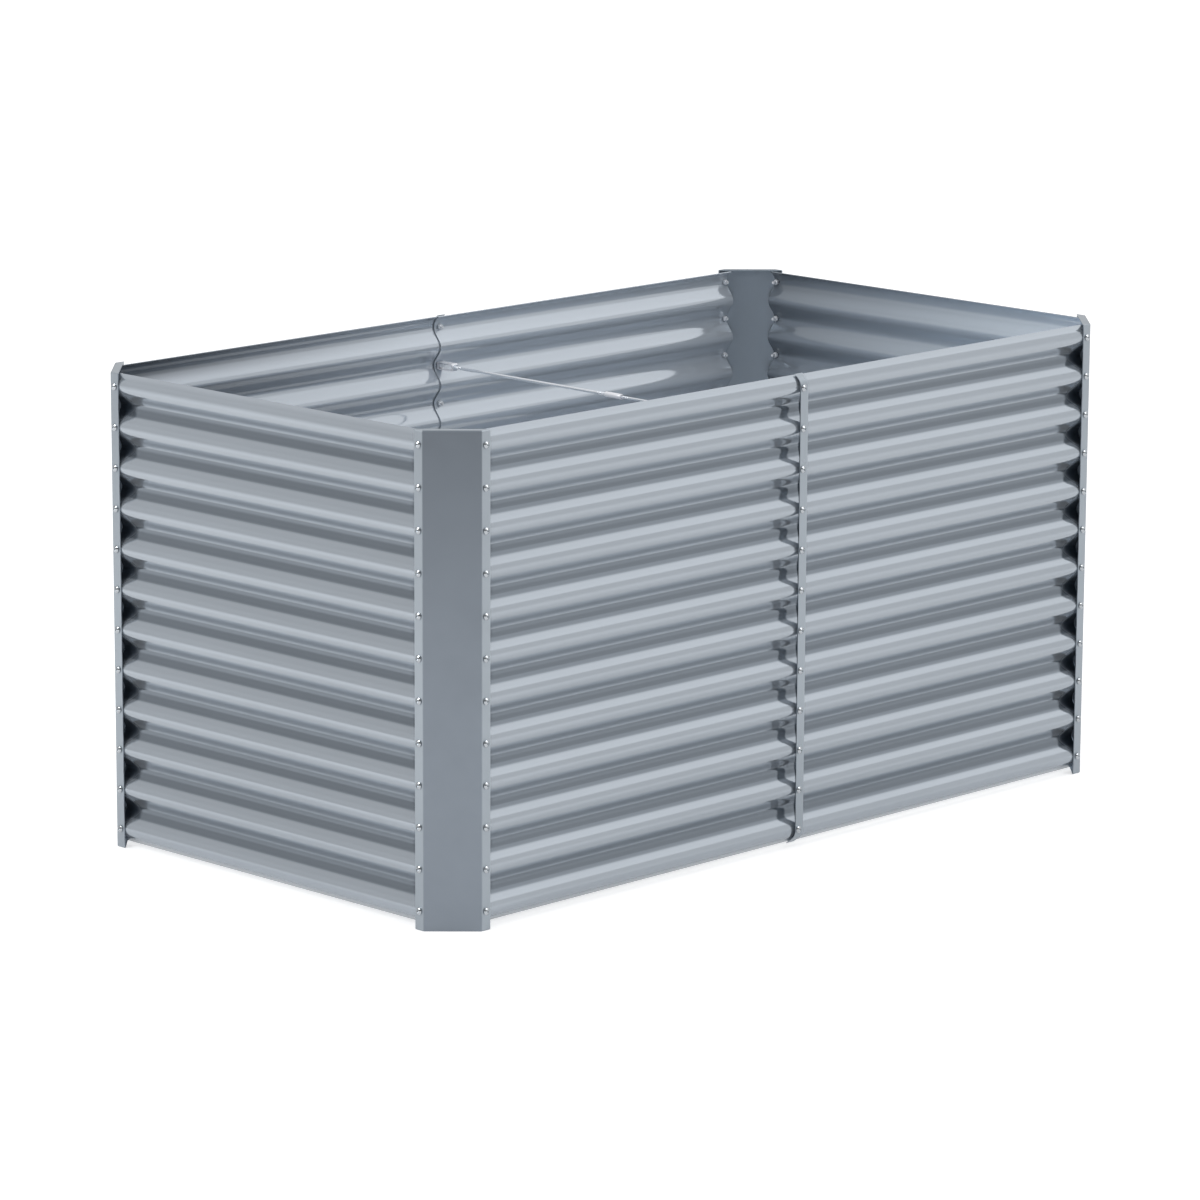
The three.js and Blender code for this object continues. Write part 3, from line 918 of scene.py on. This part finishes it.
@dataclass(frozen=True)
class SteelFinish:
    """Zinc-coated steel: cloudy tone, faint streaks along the rolling, uneven gloss.

    The colours are of the coat; of the hollows and of a post's folded face, which are painted
    shade; of the nooks behind the flanges and of the inner faces, also painted shade; and of what
    lies inside the bed, a lighter copy of the coat that is painted light.
    """

    name: str
    slot: str
    colour: Triple
    # painted shade: colour of the outer valleys, and of a post's folded face
    deep: Triple | None = None
    # painted shade: colour of the nooks behind the flanges and of the shade on the inner faces
    shade: Triple | None = None
    # painted light: a lighter copy of the coat for the faces inside the bed
    inside: Triple | None = None
    inside_metal: float | None = None  # how metallic the coat is inside the bed
    tone: float = 0.05  # share by which the clouds move the colour
    metal: float = 1.0
    gloss: float = 0.2  # mean roughness
    gloss_range: float = 0.03  # how far it moves either way
    cloud: float = 0.06  # size in metres
    streak: Triple = (1.0, 1.0, 1.0)  # scale along each axis, which is small along a streak
    wear: float = 3.5  # how many times finer the gloss varies than the clouds
    wear_span: Span = (0.3, 0.7)  # noise at which the gloss reaches its ends
    grain: float = 0.000006  # depth in metres
    grain_strength: float = 0.4
    grain_scale: float = 900.0  # grains in a metre
    details: Triple = (4.0, 6.0, 2.0)  # finer layers of the clouds, the wear and the grain
    shade_gloss: float = 0.45  # how much rougher the outer nooks' painted shade is

    def cloudy(self, tree: Tree, colour: Triple, clouds: Socket) -> Socket:
        """A colour that the clouds make a little darker or lighter."""
        darker, lighter = (
            (*[min(1.0, channel * share) for channel in colour], 1.0)
            for share in (1.0 - self.tone, 1.0 + self.tone)
        )
        return mixed(tree, clouds, darker, lighter)

    def colouring(self, tree: Tree, place: Socket) -> Socket:
        """The clouded colour of the coat, under the colours that the tones call for."""
        clouds = noise(tree, place, 1.0 / self.cloud, self.details[0])
        tint = self.cloudy(tree, self.colour, clouds)
        # the inside colour is painted light, and the hollow and nook colours are painted shade
        covers = (("inside", self.inside), ("hollow", self.deep), ("nook", self.shade))
        for name, colour in covers:
            if colour is not None:
                tint = mixed(tree, tone(tree, name), tint, self.cloudy(tree, colour, clouds))
        return tint

    def metalness(self, tree: Tree, inside_metal: float) -> Socket:
        """How metallic the coat is outside and inside the bed."""
        span = {"Value": tone(tree, "inside"), "To Min": self.metal, "To Max": inside_metal}
        return add_node(tree, "MapRange", span).outputs["Result"]

    def roughness(self, tree: Tree, place: Socket) -> Socket:
        """The uneven gloss, which is duller where shade is painted in the outer nooks."""
        least, most = self.wear_span
        span = {
            "Value": noise(tree, place, self.wear / self.cloud, self.details[1]),
            "From Min": least,
            "From Max": most,
            "To Min": self.gloss - self.gloss_range,
            "To Max": self.gloss + self.gloss_range,
        }
        rough = add_node(tree, "MapRange", span).outputs["Result"]
        if self.shade is None:
            return rough
        # painted shade of the outer nooks, leaving out the inner faces
        painted_nook = arithmetic(tree, "SUBTRACT", tone(tree, "nook"), tone(tree, "inside"), clamp=True)
        return arithmetic(tree, "MULTIPLY_ADD", painted_nook, self.shade_gloss, rough)

    def material(self) -> bpy.types.Material:
        """Builds the node tree on Object coordinates."""
        made = bpy.data.materials.new(self.name)
        made.use_nodes = True
        tree = made.node_tree
        shader = tree.nodes["Principled BSDF"]
        place = add_node(tree, "TexCoord", {}).outputs["Object"]
        stretch = add_node(tree, "Mapping", {"Vector": place, "Scale": self.streak})
        stretched = stretch.outputs["Vector"]
        grain = noise(tree, place, self.grain_scale, self.details[2])
        fine = {"Height": grain, "Strength": self.grain_strength, "Distance": self.grain}
        looks = {
            "Metallic": self.metal,
            "Base Color": self.colouring(tree, stretched),
            "Roughness": self.roughness(tree, stretched),
            "Normal": add_node(tree, "Bump", fine).outputs["Normal"],
        }
        feed(tree, shader, looks)
        if self.inside_metal is not None:
            feed(tree, shader, {"Metallic": self.metalness(tree, self.inside_metal)})
        return made


POST_STEEL = SteelFinish(
    "post_zinc_coat", "post_steel", (0.40, 0.445, 0.49),
    # the deep colour is painted shade on the posts' folded faces
    deep=(0.26, 0.295, 0.34), metal=0.8, gloss=0.35,
)
LONG_WALL_STEEL = SteelFinish(
    "long_wall_zinc_coat", "panel_steel", (0.45, 0.495, 0.545),
    # painted shade: the deep colour in the outer valleys, the shade colour in the nooks and on the
    # inner faces
    deep=(0.205, 0.235, 0.27), shade=(0.018, 0.027, 0.04),
    # painted light: the inside colour is a lighter copy of the coat
    inside=(0.56, 0.61, 0.67), inside_metal=0.4,
    metal=0.65, gloss=0.09, gloss_range=0.02, streak=(0.15, 1.0, 1.0),
)
SHORT_WALL_STEEL = replace(
    LONG_WALL_STEEL,
    # painted light: a lighter inside colour still
    name="short_wall_zinc_coat", inside=(0.69, 0.78, 0.88), streak=(1.0, 0.15, 1.0),
)
STRIP_STEEL = SteelFinish(
    "strip_zinc_coat", "strip_steel", (0.39, 0.435, 0.48), metal=0.8, gloss=0.3
)
TIE_STEEL = SteelFinish(
    "tie_zinc_plate", "tie_steel", (0.87, 0.91, 0.96),
    tone=0.02, metal=0.75, gloss=0.16, gloss_range=0.01, cloud=0.03, grain=0.000001,
)
TIE_SATIN = replace(
    TIE_STEEL,
    name="tie_satin_zinc", colour=(0.9, 0.91, 0.95), metal=0.3, gloss=0.3, gloss_range=0.03,
)
SCREW_ZINC = SteelFinish(
    "screw_zinc_plate", "screw_zinc", (0.5, 0.53, 0.56),
    # painted light: the bolts' ends inside the bed take a lighter copy of the zinc
    inside=(0.9, 0.92, 0.95), inside_metal=0.35, tone=0.06, gloss=0.12, cloud=0.006,
)
# painted light: a lighter copy of the screw zinc for the nuts, which sit inside the bed
NUT_ZINC = SteelFinish(
    "nut_zinc_plate", "screw_zinc", (0.88, 0.9, 0.93), metal=0.35, gloss=0.2, cloud=0.006
)


# ---------- studio


@dataclass(frozen=True)
class Lamp:
    """A square soft lamp that points at the bed, and that glossy faces mirror or not."""

    name: str
    place: Triple
    side: float
    watts: float
    mirrored: bool = True
    target: Triple = (0.0, 0.0, 0.3)

    def hang(self) -> bpy.types.Object:
        """Puts the lamp in the scene."""
        data = bpy.data.lights.new(self.name, "AREA")
        data.shape = "SQUARE"
        data.size = self.side
        data.energy = self.watts
        lamp = bpy.data.objects.new(self.name, data)
        lamp.location = self.place
        lamp.visible_glossy = self.mirrored
        aim = Vector(self.target) - Vector(self.place)
        lamp.rotation_mode = "QUATERNION"
        lamp.rotation_quaternion = aim.to_track_quat("-Z", "Y")
        bpy.context.scene.collection.objects.link(lamp)
        return lamp


@dataclass(frozen=True)
class Studio:
    """Floor, world, lamps and camera.

    The floor's lift is what it shines by itself, and its white what the camera sees on
    top of that. The spans are shares of a unit vector along a way.
    """

    camera_place: Triple = (-4.851, -4.733, 1.7322)
    camera_azimuth: float = -45.565  # degrees, from a view along +Y
    camera_elevation: float = 12.205
    camera_roll: float = 0.258
    lens: float = 162.57
    sensor: float = 36.0
    view_reach: float = 200.0
    floor_side: float = 80.0
    lamps: tuple[Lamp, ...] = (
        Lamp("overhead", (4.3, -1.5, 4.2), 5.6, 18.0, mirrored=False),
        Lamp("left_floor_fill", (-2.6, 0.6, 2.2), 1.2, 32.0),
        Lamp("right_floor_fill", (1.0, -2.7, 2.2), 1.2, 12.0),
    )
    floor_colour: float = 0.72
    floor_roughness: float = 0.9
    floor_lift: float = 0.28
    floor_white: float = 0.28
    sky_level: float = 0.705
    sky_left: float = 0.1  # what the level grows by to the right
    sky_dim: float = 0.5
    sky_above: float = 0.88
    sky_side: float = 0.4  # what the level above grows by
    camera_way: Triple = (-0.707, -0.707, 0.0)
    right_way: Triple = (0.707, -0.707, 0.0)
    dim_span: Span = (0.35, 0.85)
    above_span: Span = (0.47, 0.5)

    def camera(self) -> bpy.types.Object:
        """The camera, turned by its azimuth and elevation and then rolled about its axis."""
        azimuth = Matrix.Rotation(math.radians(self.camera_azimuth), 3, "Z")
        tilt = Matrix.Rotation(math.radians(90.0 - self.camera_elevation), 3, "X")
        roll = Matrix.Rotation(math.radians(self.camera_roll), 3, "Z")
        data = bpy.data.cameras.new("camera")
        data.lens, data.sensor_width = self.lens, self.sensor
        data.clip_end = self.view_reach
        camera = bpy.data.objects.new("camera", data)
        camera.rotation_mode = "QUATERNION"
        camera.rotation_quaternion = (azimuth @ tilt @ roll).to_quaternion()
        camera.location = self.camera_place
        bpy.context.scene.collection.objects.link(camera)
        bpy.context.scene.camera = camera
        return camera

    def floor(self) -> bpy.types.Object:
        """A plain pale floor that shows white and keeps the bed's soft shadow."""
        half = self.floor_side / 2.0
        mesh = bpy.data.meshes.new("floor")
        corners = [(-half, -half, 0.0), (half, -half, 0.0), (half, half, 0.0), (-half, half, 0.0)]
        mesh.from_pydata(corners, [], [(0, 1, 2, 3)])
        floor = bpy.data.objects.new("floor", mesh)
        bpy.context.scene.collection.objects.link(floor)
        pale = bpy.data.materials.new("pale_floor")
        pale.use_nodes = True
        tree = pale.node_tree
        rays = add_node(tree, "LightPath", {}).outputs
        lifts = (
            arithmetic(tree, "MULTIPLY", rays["Is Camera Ray"], self.floor_lift + self.floor_white),
            arithmetic(tree, "MULTIPLY", rays["Is Glossy Ray"], self.floor_lift),
        )
        looks = {
            "Base Color": (*[self.floor_colour] * 3, 1.0),
            "Roughness": self.floor_roughness,
            "Specular IOR Level": 0.0,
            "Emission Color": WHITE,
            "Emission Strength": arithmetic(tree, "MAXIMUM", *lifts),
        }
        feed(tree, tree.nodes["Principled BSDF"], looks)
        mesh.materials.append(pale)
        return floor

    def world(self) -> None:
        """A white world: dimmer behind the camera, and brighter above to the right.

        Low down its strength is the level, plus the left share of how far a direction
        points to the right, less the dimness where it points towards the camera's side.
        From 28 to 30 degrees up this changes into the level above, plus the side share.
        """
        world = bpy.data.worlds.new("studio")
        bpy.context.scene.world = world
        world.use_nodes = True
        tree = world.node_tree
        place = add_node(tree, "TexCoord", {}).outputs["Generated"]

        def pointing(axis: Triple) -> Socket:
            """How far a direction points along an axis."""
            dot = tree.nodes.new("ShaderNodeVectorMath")
            dot.operation = "DOT_PRODUCT"
            feed(tree, dot, {0: place, 1: axis})
            return dot.outputs["Value"]

        def stepped(value: Socket, span: Span) -> Socket:
            """A smooth step from 0 to 1 as the value goes through the span."""
            step = tree.nodes.new("ShaderNodeMapRange")
            step.interpolation_type = "SMOOTHSTEP"
            feed(tree, step, {"Value": value, "From Min": span[0], "From Max": span[1]})
            return step.outputs["Result"]

        towards = stepped(pointing(self.camera_way), self.dim_span)
        sideways = pointing(self.right_way)
        above = stepped(pointing((0.0, 0.0, 1.0)), self.above_span)
        level = arithmetic(tree, "MULTIPLY_ADD", sideways, self.sky_left, self.sky_level)
        low = arithmetic(tree, "MULTIPLY_ADD", towards, -self.sky_dim, level)
        high = arithmetic(tree, "MULTIPLY_ADD", sideways, self.sky_side, self.sky_above)
        gap = arithmetic(tree, "SUBTRACT", high, low)
        strength = arithmetic(tree, "MULTIPLY_ADD", above, gap, low)
        feed(tree, tree.nodes["Background"], {"Color": WHITE, "Strength": strength})

    def build(self) -> None:
        """Sets up the whole studio."""
        self.camera()
        self.floor()
        self.world()
        for lamp in self.lamps:
            lamp.hang()
        bpy.context.scene.view_settings.view_transform = "Standard"


# ---------- main


@dataclass(frozen=True)
class GardenBed:
    """The whole bed: its parts' sizes, and the materials made so far."""

    bed: Bed = Bed()
    wave: Wave = Wave()
    post: CornerPost = CornerPost()
    cladding: Cladding = Cladding()
    screws: Fasteners = Fasteners()
    tie: TieRod = TieRod()
    materials: dict[str, bpy.types.Material] = field(default_factory=dict)

    def dress(self, pieces: list[Piece], finish: SteelFinish) -> None:
        """Builds pieces in one finish and logs them."""
        if finish.name not in self.materials:
            self.materials[finish.name] = finish.material()
        for piece in pieces:
            built = piece.build(self.materials[finish.name], finish.slot)
            LOG.info("%s: %d faces, %s", built.name, len(built.data.polygons), finish.name)

    def fasten(self, wall: Wall) -> None:
        """Builds a wall's bolts and nuts, a column at each end and one at a long wall's seam."""
        end = wall.length / 2.0 - self.post.bolt_from_corner
        last = self.wave.crests - 1
        corner = {0: "top", last: "bottom"}
        laps = (Lap.INNER, Lap.OUTER)
        inner, outer = ([self.screws.seat(lap)] * self.wave.crests for lap in laps)
        left, right = wall.ends
        columns = [(left, -end, inner if wall.long else outer, corner), (right, end, outer, corner)]
        if wall.long:
            seats = list(inner)
            seats[self.tie.crest] = self.tie.seat + self.tie.bracket_sheet + self.bed.seat_gap
            columns.append(("seam", 0.0, seats, {self.tie.crest: "tie", last: "bottom"}))
        made = []
        for label, x, seats, named in columns:
            made += self.screws.column(wall, f"{wall.name}_{label}", x, seats, named)
        for kind, finish in (("bolt", SCREW_ZINC), ("nut", NUT_ZINC)):
            self.dress([piece for piece in made if piece.name.startswith(kind)], finish)

    def build(self) -> None:
        """Builds every piece, wall by wall."""
        self.dress(self.post.pieces(), POST_STEEL)
        for wall in self.bed.walls():
            panels = self.cladding.panels(wall)
            self.dress(panels, LONG_WALL_STEEL if wall.long else SHORT_WALL_STEEL)
            if wall.long:
                self.dress([self.cladding.strip(wall)], STRIP_STEEL)
            self.fasten(wall)
            if wall.long:
                bracket, rod, jam_nut = self.tie.half(wall)
                self.dress([bracket], TIE_SATIN)
                self.dress([rod, jam_nut], TIE_STEEL)
        self.dress([self.tie.joining_sleeve()], TIE_SATIN)


def main() -> None:
    """Builds the studio and the bed."""
    logging.basicConfig(level=logging.INFO, format="%(message)s")
    Studio().build()
    GardenBed().build()


if __name__ == "__main__":
    main()
